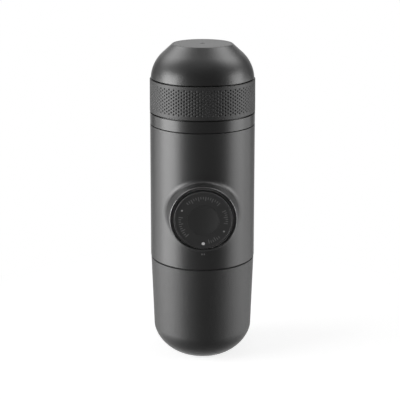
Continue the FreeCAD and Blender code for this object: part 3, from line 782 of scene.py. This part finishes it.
dome_step = 0.5 * MM
dome_arc_r = 19.8 * MM
dome_draft = math.radians(2.4)
dome_slope = math.radians(42.2)
dome_steps = 24
arch_steps = 14
tank_rim = 0.9 * MM
ceiling_depth = 3.5 * MM
spigot_wall = 2.0 * MM
groove_width = 1.95 * MM
groove_depth = 1.6 * MM
groove_height = 2.2 * MM
thread_gap = 0.4 * MM
thread_lead = 12.0 * MM
thread_starts = 4
thread_height = 0.3 * MM
thread_fade = 0.8 * MM
thread_tolerance = 0.01 * MM
ridge_gain = 1.6
ridge_floor = 0.3
tank_thread_start = 0.3 * MM
tank_thread_end = 0.2 * MM
tank_thread_rows = 40
tank_turns = 256


def thread(angle, level, radius, bottom, top, full_r):
    """A four-start ridge on a stretch: its height follows the cosine of the helix's phase,
    sharpened, and fades out towards both ends."""
    phase = (level / thread_lead - angle / TURN) * thread_starts * TURN
    ridge = np.clip(np.cos(phase) * ridge_gain - ridge_floor, 0, 1)
    fade = np.clip(np.minimum(level - bottom, top - level) / thread_fade, 0, 1)
    on_wall = np.abs(radius - full_r) < thread_tolerance
    return radius + np.where(on_wall, ridge * fade * thread_height, 0)


def up_slope(start, level):
    """Where the dome's slope from a point reaches a level."""
    return start[0] - (level - start[1]) / math.tan(dome_slope), level


def tank():
    """Dome, wall and spigot. The dome is an arc between its draft and its slope, and follows
    the slope from there to the flat top."""
    dome_z = grip_top + seam
    foot_r = grip_r - grip_taper - dome_step
    centre_r = foot_r - dome_arc_r * math.cos(dome_draft)
    centre = (centre_r, dome_z - dome_arc_r * math.sin(dome_draft))
    crest_turn = math.pi / 2 - dome_slope
    dome = arc(centre, dome_arc_r, dome_draft + gap_height / dome_arc_r, crest_turn, dome_steps)
    gap_r = foot_r - gap_depth
    shell_r = grip_r - grip_wall - seat_gap
    spigot_r = body_r - collar_wall - thread_gap
    inner_r = spigot_r - spigot_wall
    groove_r = spigot_r - groove_depth
    groove_low = tank_low + groove_height - groove_width / 2
    groove_top = groove_low + groove_width
    lower = rounded([
        (inner_r, tank_low, soft_edge),
        (spigot_r, tank_low, soft_edge),
        (spigot_r, groove_low, crisp_edge),
        (groove_r, groove_low, 0),
        (groove_r, groove_top, 0),
        (spigot_r, groove_top, crisp_edge),
        (spigot_r, grip_low, 0),
        (shell_r, grip_low, 0),
        (shell_r, dome_z, 0),
        (gap_r, dome_z, 0),
        (gap_r, dome_z + gap_height, 0),
    ])
    lower = divided(lower, (spigot_r, groove_top + crisp_edge), (spigot_r, grip_low),
                    tank_thread_rows)
    seat_r, seat = disc_r + seat_gap, disc_low - seat_gap
    rim = rounded([
        (*dome[-1], 0),
        (*up_slope(dome[-1], tank_top), tank_rim),
        (seat_r, tank_top, seat_edge),
        (seat_r, seat, 0),
        (0, seat, 0),
    ])[1:]
    outside = eased(np.concatenate([lower, dome, rim]), closed=False)

    wall_r = shell_r - body_wall
    arch_r = dome_arc_r - body_wall
    arch = arc(centre, arch_r, crest_turn, math.acos((wall_r - centre_r) / arch_r), arch_steps)
    ceiling = tank_top - ceiling_depth
    inside = eased(np.concatenate([
        [(0, ceiling), up_slope(arch[0], ceiling)],
        arch,
        [(wall_r, grip_low), (inner_r, grip_low - (wall_r - inner_r))],
    ]), closed=False)
    inside = np.concatenate([inside, outside[:1]])

    def relief(angle, level, radius):
        return thread(angle, level, radius, groove_top + tank_thread_start,
                      grip_low - tank_thread_end, spigot_r)

    grids = [
        (turned(outside, tank_turns, relief), False, True),
        (turned(inside, tank_turns), False, True),
    ]
    piece("tank", grids, "tank", tank_grey, ["tank_shell"])


tank()

recess_r = 1.5 * MM
recess_floor_r = 0.7 * recess_r
recess_depth = 0.35 * MM
recess_fillet = 0.2 * MM


def top_disc():
    """The flat inlay in the tank's top, with a small plain recess in its middle."""
    outline = rounded([
        (0, disc_low, 0),
        (disc_r, disc_low, 0),
        (disc_r, tank_top, fine_edge),
        (recess_r, tank_top, crisp_edge),
        (recess_floor_r, tank_top - recess_depth, recess_fillet),
        (0, tank_top - recess_depth, 0),
    ])
    grid = turned(eased(outline, closed=False))
    piece("top_disc", [(grid, False, True)], "tank", disc_grey, ["tank_top_disc"])


top_disc()


# Knob

knob_wall = 2.2 * MM
knob_edge = 0.22 * MM
knob_fillet = 0.4 * MM
face_rim_width = 0.5 * MM
face_rim_chamfer = 0.11 * MM
face_rim_slope = 1.2 * MM
chamfer_edge = 0.05 * MM
slope_edge = 0.5 * MM
web_thickness = 2.3 * MM
web_hole_r = 2.58 * MM
screw_pocket_r = 6.0 * MM
screw_pocket_depth = 1.2 * MM


def knob():
    """A deep hollow cap with a web behind the insert. The raised rim round its face falls by
    a narrow chamfer and then by a gentle slope."""
    inner_r = knob_r - knob_wall
    rim_r = knob_r - knob_edge - face_rim_width
    seat_r, seat = insert_r + seat_gap, insert_low - seat_gap
    web_top = seat - screw_pocket_depth
    web_low = web_top - web_thickness
    outline = rounded([
        (web_hole_r, web_low, 0),
        (inner_r, web_low, knob_fillet),
        (inner_r, knob_back, soft_edge),
        (knob_r, knob_back, soft_edge),
        (knob_r, knob_front, knob_edge),
        (rim_r, knob_front, fine_edge),
        (rim_r - face_rim_chamfer, knob_front - face_rim_chamfer, chamfer_edge),
        (rim_r - face_rim_slope, face_level, slope_edge),
        (seat_r, face_level, insert_edge),
        (seat_r, seat, 0),
        (screw_pocket_r, seat, 0),
        (screw_pocket_r, web_top, 0),
        (web_hole_r, web_top, 0),
    ])
    grid = on_pump_axis(turned(eased(outline), turns=160))
    piece("knob", [(grid, True, True)], "knob", knob_black, ["knob_shell"])


knob()

dish_margin = 0.4 * MM
dish_depth = 0.85 * MM
dish_steps = 15


def knob_insert():
    """The dished middle: its level falls with the square of the distance from the edge."""
    dish_r = insert_r - dish_margin
    share = np.linspace(1, 0, dish_steps + 1)
    dish = np.stack([dish_r * share, face_level - dish_depth * (1 - share ** 2)], axis=1)
    border = rounded([
        (0, insert_low, 0),
        (insert_r, insert_low, 0),
        (insert_r, face_level, insert_edge),
        (dish_r, face_level, 0),
    ])[:-1]
    outline = eased(np.concatenate([border, dish]), closed=False)
    grid = on_pump_axis(turned(outline, turns=128))
    piece("knob_insert", [(grid, False, True)], "knob", insert_black,
          ["knob_face"])


knob_insert()


# Marks on the knob's face and on the housing; angles count from the right, anticlockwise

tick_inner_r = 11.0 * MM
short_tick_r = 11.9 * MM
tick_outer_r = 13.3 * MM
tick_width = 0.4 * MM
tick_height = 0.04 * MM
tick_sink = 0.02 * MM
long_tick_every = 3
# First and last angle of each arc, and how many ticks it has
tick_arcs = ((48, 132, 15), (-8, 25, 7), (-76, -48, 6), (172, 224, 10))


def ticks():
    """Plain raised ticks on four arcs of the knob's face, each a flat block on a spoke."""
    grids = []
    for start, end, count in tick_arcs:
        for index, degrees in enumerate(np.linspace(start, end, count)):
            spoke = math.radians(degrees)
            along = np.array((math.cos(spoke), math.sin(spoke)))
            aside = np.array((-along[1], along[0])) * tick_width / 2
            inner_r = tick_inner_r if index % long_tick_every == 0 else short_tick_r
            inner, outer = along * inner_r, along * tick_outer_r
            loop = np.array([inner - aside, outer - aside, outer + aside, inner + aside])
            grid = np.stack([
                np.column_stack([ring, np.full(len(ring), face_level + height)])
                for ring, height in block(loop, tick_sink, tick_height)
            ])
            grids.append((on_pump_axis(grid), False, True))
    piece("knob_ticks", grids, "knob", mark_grey)


ticks()

dot_height = 0.06 * MM
dot_sink = 0.3 * MM
dot_steps = 5


def dots(name, radius, circle_r, angles, material, replaced=()):
    """Round inlays on the knob's face, each a low dome: its level falls with the square of
    the distance from its middle, by half its height."""
    share = np.linspace(1, 0, dot_steps + 1)
    dome = np.stack([radius * share, face_level + dot_height * (1 - 0.5 * share ** 2)], axis=1)
    foot = face_level - dot_sink
    dot = turned(np.concatenate([[(0, foot), (radius, foot)], dome]), turns=24)
    grids = []
    for degrees in angles:
        spoke = math.radians(degrees)
        centre = np.array((circle_r * math.cos(spoke), circle_r * math.sin(spoke), 0))
        grids.append((on_pump_axis(dot + centre), False, True))
    piece(name, grids, "knob", material, replaced)


dots("index_dot", radius=0.84 * MM, circle_r=13.0 * MM, angles=(270,), material=mark_white,
     replaced=["knob_dots"])
dots("small_dots", radius=0.48 * MM, circle_r=12.7 * MM, angles=(154, -29), material=mark_pale)

bar_spacing = 1.24 * MM
bar_width = 0.56 * MM
bar_length = 0.94 * MM
bar_drop = 21.9 * MM
bar_height = 0.05 * MM
bar_sink = 0.03 * MM


def index_mark():
    """Two small upright bars on the housing under the boss, bent to its skin."""
    signs = np.array([(-1, -1), (1, -1), (1, 1), (-1, 1)])
    grids = []
    for side in (-1, 1):
        centre = np.array((side * bar_spacing / 2, pump_z - bar_drop))
        loop = centre + signs * np.array((bar_width, bar_length)) / 2
        rows = []
        for ring, height in block(loop, bar_sink, bar_height):
            place = on_sleeve(ring)
            place[:, 1] -= height
            rows.append(place)
        grids.append((np.stack(rows), False, True))
    piece("index_mark", grids, "housing", index_grey)


index_mark()


# Outlet head

head_wall = 2.2 * MM
head_floor = 2.4 * MM
head_drip = 1.5 * MM
head_funnel = 0.8 * MM
head_funnel_r = 8.5 * MM
head_base_r = 9.9 * MM
head_round = 12.65 * MM
head_round_inner = 11.25 * MM
ledge_width = 2.0 * MM
ledge_depth = 1.3 * MM
ledge_edge = 0.2 * MM
spout_r = 4.5 * MM
spout_bore_r = 2.0 * MM
spout_edge = 0.5 * MM
spout_collar = 0.5 * MM
spout_fillet = 0.6 * MM
flute_count = 12
flute_r = 3.0 * MM
flute_depth = 0.9 * MM
flute_margin = 1.5 * MM
flute_fade = 2.5 * MM
columns_per_flute = 24
head_thread_start = 1.5 * MM
head_thread_end = 0.8 * MM
head_thread_rows = 50
head_wall_rows = 10
bottom_steps = 14


def round_bottom(wall_r, base_r, base, height):
    """An arc from the flat base up to an upright wall, which it meets smoothly: its radius is
    (width squared + height squared) / twice the width."""
    width = wall_r - base_r
    radius = (width ** 2 + height ** 2) / (2 * width)
    start = -math.atan2(height, radius - width)
    return arc((wall_r - radius, base + height), radius, start, 0, bottom_steps)


def head():
    """The head's skin with scooped flutes: where a flute's cylinder, upright and centred just
    outside the wall, reaches in further than the wall, the radius is that cylinder's."""
    inside_z = basket_low - head_drip
    base_z = inside_z - head_floor
    pocket_r = head_r - head_wall
    ledge_r = pocket_r - ledge_width
    ledge_z = head_top - ledge_depth
    wall_foot = (head_r, base_z + head_round)
    wall_neck = (head_r, neck_low)
    wall_top = (head_r, head_top - soft_edge)
    spout = rounded([
        (spout_bore_r, inside_z - head_funnel, 0),
        (spout_bore_r, head_low, soft_edge),
        (spout_r, head_low, spout_edge),
        (spout_r, base_z - spout_collar, spout_fillet),
        (head_base_r, base_z, 0),
    ])[:-1]
    outside = round_bottom(head_r, head_base_r, base_z, head_round)
    upper = rounded([
        (*wall_neck, 0),
        (head_r, head_top, soft_edge),
        (pocket_r, head_top, soft_edge),
        (pocket_r, ledge_z, 0),
        (ledge_r, ledge_z, ledge_edge),
        (ledge_r, inside_z + head_round_inner, 0),
    ])
    inside = round_bottom(ledge_r, head_funnel_r, inside_z, head_round_inner)[::-1]
    outline = np.concatenate([spout, outside, upper, inside])
    outline = divided(outline, wall_foot, wall_neck, head_wall_rows)
    outline = divided(outline, wall_neck, wall_top, head_thread_rows)
    is_outer = np.arange(len(outline))[:, None] <= nearest(outline, wall_top)
    axis_r = head_r + flute_r - flute_depth
    flute_top = neck_low - flute_margin

    def relief(angle, level, radius):
        away = ((angle / TURN * flute_count + 0.5) % 1 - 0.5) * TURN / flute_count
        aside, reach = axis_r * np.sin(away), axis_r * np.cos(away)
        cut = reach - np.sqrt(np.clip(flute_r ** 2 - aside ** 2, 0, None))
        deep = np.clip((flute_top - level) / flute_fade, 0, 1)
        deep = deep * deep * (3 - 2 * deep)
        cut = cut + (1 - deep) * flute_depth
        fluted = (np.abs(aside) < flute_r) & (cut < radius) & is_outer
        radius = np.where(fluted, cut, radius)
        return thread(angle, level, radius, neck_low + head_thread_start,
                      head_top - head_thread_end, head_r)

    grid = turned(outline, flute_count * columns_per_flute, relief)
    piece("head", [(grid, True, True)], "head", head_black, ["outlet_head"])


head()


# Springs

return_wire = 1.0 * MM
return_turns = 8
valve_wire = 0.45 * MM
valve_turns = 4
flat_turns = 0.75


def wire(radius, thickness, bottom, top, turns, around=48, sides=10):
    """A round wire along a helix whose ends lie flat: the level follows the share of the
    turns past the flat end, and the section circles the path."""
    angle = np.linspace(0, turns * TURN, turns * around + 1)[:, None]
    flat = flat_turns * TURN
    rise = np.clip((angle - flat) / (turns * TURN - 2 * flat), 0, 1)
    centre_z = bottom + thickness / 2 + rise * (top - bottom - thickness)
    turn = np.linspace(0, TURN, sides, endpoint=False)[None]
    out = radius + np.cos(turn) * thickness / 2
    grid = np.stack([out * np.cos(angle), out * np.sin(angle),
                     centre_z - np.sin(turn) * thickness / 2 + 0 * angle], axis=-1)
    caps = [np.repeat(grid[end].mean(axis=0)[None, None], sides, axis=1) for end in (0, -1)]
    return np.concatenate([caps[0], grid, caps[1]])


def return_coil():
    """The spring between the carrier and the knob's web, on the pump's axis."""
    lower, upper = low("return_spring"), high("return_spring")
    radius = upper.x - return_wire / 2
    grid = on_pump_axis(wire(radius, return_wire, -upper.y, -lower.y, return_turns))
    made = piece("return_coil", [(grid, False, True)], None, steel, ["return_spring"])
    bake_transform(made)


def valve_coil(valve):
    """The small upright spring of a valve."""
    node = valve + "_spring"
    lower, upper = low(node), high(node)
    centre_y = (lower.y + upper.y) / 2
    radius = upper.x - valve_wire / 2
    grid = wire(radius, valve_wire, lower.z, upper.z, valve_turns, around=32, sides=8)
    grid[..., 1] += centre_y
    made = piece(valve + "_coil", [(grid, False, True)], None, steel, [node])
    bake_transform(made)


return_coil()
for valve in ("inlet", "outlet"):
    valve_coil(valve)


# Floor

floor_r = 0.20
floor_clear_r = 0.07
floor_white_r = 0.9 * floor_r
floor_sides = 96
floor_grey = 0.62
floor_glow = 0.74


def floor_material():
    """A pale matt floor: the camera sees it glow just enough to be white where nothing
    shades it, and it turns into the white surroundings at its rim."""
    material = bpy.data.materials.new("floor white")
    material.use_nodes = True
    tree = material.node_tree
    nodes, links = tree.nodes, tree.links
    shader = nodes["Principled BSDF"]
    set_inputs(shader, {
        "Base Color": (floor_grey, floor_grey, floor_grey, 1), "Roughness": 0.9,
        "Specular IOR Level": 0.1,
    })
    path = nodes.new("ShaderNodeLightPath")
    glow = nodes.new("ShaderNodeEmission")
    strength = math_node(tree, "MULTIPLY", path.outputs["Is Camera Ray"], floor_glow)
    links.new(strength, glow.inputs["Strength"])
    lit = nodes.new("ShaderNodeAddShader")
    links.new(shader.outputs[0], lit.inputs[0])
    links.new(glow.outputs[0], lit.inputs[1])
    place = nodes.new("ShaderNodeTexCoord")
    distance = nodes.new("ShaderNodeVectorMath")
    distance.operation = "LENGTH"
    links.new(place.outputs["Object"], distance.inputs[0])
    rim = nodes.new("ShaderNodeMapRange")
    rim.interpolation_type = "SMOOTHSTEP"
    set_inputs(rim, {"From Min": floor_clear_r, "From Max": floor_white_r})
    links.new(distance.outputs["Value"], rim.inputs["Value"])
    seen = math_node(tree, "MULTIPLY", rim.outputs["Result"], path.outputs["Is Camera Ray"])
    white = nodes.new("ShaderNodeEmission")
    mix = nodes.new("ShaderNodeMixShader")
    links.new(seen, mix.inputs[0])
    links.new(lit.outputs[0], mix.inputs[1])
    links.new(white.outputs[0], mix.inputs[2])
    links.new(mix.outputs[0], nodes["Material Output"].inputs["Surface"])
    return material


def floor():
    """A round floor of one face. It takes the object's shadow, but isn't mirrored in the
    object and blocks no light from below."""
    turn = np.linspace(0, TURN, floor_sides, endpoint=False)
    points = np.stack([floor_r * np.cos(turn), floor_r * np.sin(turn), 0 * turn], axis=1)
    mesh = bpy.data.meshes.new("floor")
    mesh.from_pydata(points.tolist(), [], [tuple(range(floor_sides))])
    mesh.materials.append(floor_material())
    made = bpy.data.objects.new("floor", mesh)
    bpy.context.scene.collection.objects.link(made)
    made.visible_glossy = False
    made.visible_shadow = False


floor()


# Light: directions are an azimuth, 0 on the camera's side and positive to the right, and an
# elevation, both in degrees

dim_room = 0.07
even_light = 0.2

# Azimuth, elevation, cosine at which the light starts, strength
room_lights = (
    (180, 20, 0.70, 0.9),
    (0, 90, 0.45, 1.0),
    (-127, 48, 0.83, 4.9),
    (114, 53, 0.84, 5.0),
    (-90, 19, 0.60, 0.9),
    (90, 19, 0.60, 0.9),
    (-62, -4, 0.80, 1.2),
    (180, -38, 0.62, 1.3),
)


def towards(azimuth, elevation):
    """The direction of a light, as a unit vector."""
    side, up = math.radians(azimuth), math.radians(elevation)
    return (math.cos(up) * math.sin(side), -math.cos(up) * math.cos(side), math.sin(up))


def direction_mask(tree, axis, start):
    """A soft light round an axis: the square of the share that the cosine of the angle to the
    axis has passed on its way from start to 1."""
    place = tree.nodes.new("ShaderNodeTexCoord")
    along = tree.nodes.new("ShaderNodeVectorMath")
    along.operation = "DOT_PRODUCT"
    along.inputs[1].default_value = axis
    tree.links.new(place.outputs["Generated"], along.inputs[0])
    past = math_node(tree, "SUBTRACT", along.outputs["Value"], start)
    share = math_node(tree, "DIVIDE", past, 1 - start, clamp=True)
    return math_node(tree, "MULTIPLY", share, share)


def world():
    """White behind the object. What shines sees a dim room with a pale backdrop, a soft
    ceiling, two high lights at the back, a glow on both sides, one low at the left of the
    front and one below the backdrop; matt surfaces get an even light."""
    made = bpy.data.worlds.new("studio")
    made.use_nodes = True
    tree = made.node_tree
    plain = tree.nodes["Background"]
    shiny = dim_room
    for azimuth, elevation, start, strength in room_lights:
        mask = direction_mask(tree, towards(azimuth, elevation), start)
        shiny = math_node(tree, "ADD", math_node(tree, "MULTIPLY", mask, strength), shiny)
    path = tree.nodes.new("ShaderNodeLightPath")
    shiny = math_node(tree, "MULTIPLY", shiny, path.outputs["Is Glossy Ray"])
    matt = math_node(tree, "MULTIPLY", path.outputs["Is Diffuse Ray"], even_light)
    strength = math_node(tree, "ADD", shiny, matt)
    strength = math_node(tree, "ADD", strength, path.outputs["Is Camera Ray"])
    plain.inputs["Color"].default_value = (1, 1, 1, 1)
    tree.links.new(strength, plain.inputs["Strength"])
    bpy.context.scene.world = made


world()

light_distance = 0.9
light_aim_z = 0.09

# Name, azimuth, elevation, width and height as angles in degrees, radiance
soft_boxes = (
    ("left wide", -89, -22, 72, 50, 1.5),
    ("left upper", -77, 10, 42, 28, 7.9),
    ("left lower", -77, -16.5, 42, 25, 4.75),
    ("right wide", 92, -22, 72, 50, 1.25),
    ("right upper", 82, 10, 34, 28, 4.9),
    ("right lower", 82, -16.5, 34, 25, 1.75),
)


def soft_box(name, azimuth, elevation, width, height, radiance):
    """An area light that faces the object's middle. Its power is radiance * pi * area."""
    light = bpy.data.lights.new(name, "AREA")
    light.shape = "RECTANGLE"
    light.size = 2 * light_distance * math.tan(math.radians(width / 2))
    light.size_y = 2 * light_distance * math.tan(math.radians(height / 2))
    light.energy = radiance * math.pi * light.size * light.size_y
    made = bpy.data.objects.new(name, light)
    bpy.context.scene.collection.objects.link(made)
    made.location = [part * light_distance for part in towards(azimuth, elevation)]
    made.location.z += light_aim_z
    made.rotation_euler = (math.radians(90 - elevation), 0, math.radians(azimuth))


for box in soft_boxes:
    soft_box(*box)


# Camera

camera_azimuth = math.radians(0.75)
camera_distance = 0.599
camera_height = 0.2675
camera_pitch = math.radians(16.48)
lens_mm = 99.1
sensor_mm = 36.0
frame_pixels = 400
axis_offset_pixels = 2.55


def camera():
    """It looks down at the object from a little left of the front, turned so that the body's
    axis lies the offset to the right of the frame's middle."""
    lens = bpy.data.cameras.new("camera")
    lens.lens = lens_mm
    lens.sensor_width = sensor_mm
    made = bpy.data.objects.new("camera", lens)
    bpy.context.scene.collection.objects.link(made)
    made.location = (-camera_distance * math.sin(camera_azimuth),
                     -camera_distance * math.cos(camera_azimuth), camera_height)
    aside = math.atan(axis_offset_pixels * sensor_mm / (lens_mm * frame_pixels))
    made.rotation_euler = (math.pi / 2 - camera_pitch, 0, aside - camera_azimuth)
    bpy.context.scene.camera = made


camera()
bpy.context.scene.view_settings.view_transform = "Standard"
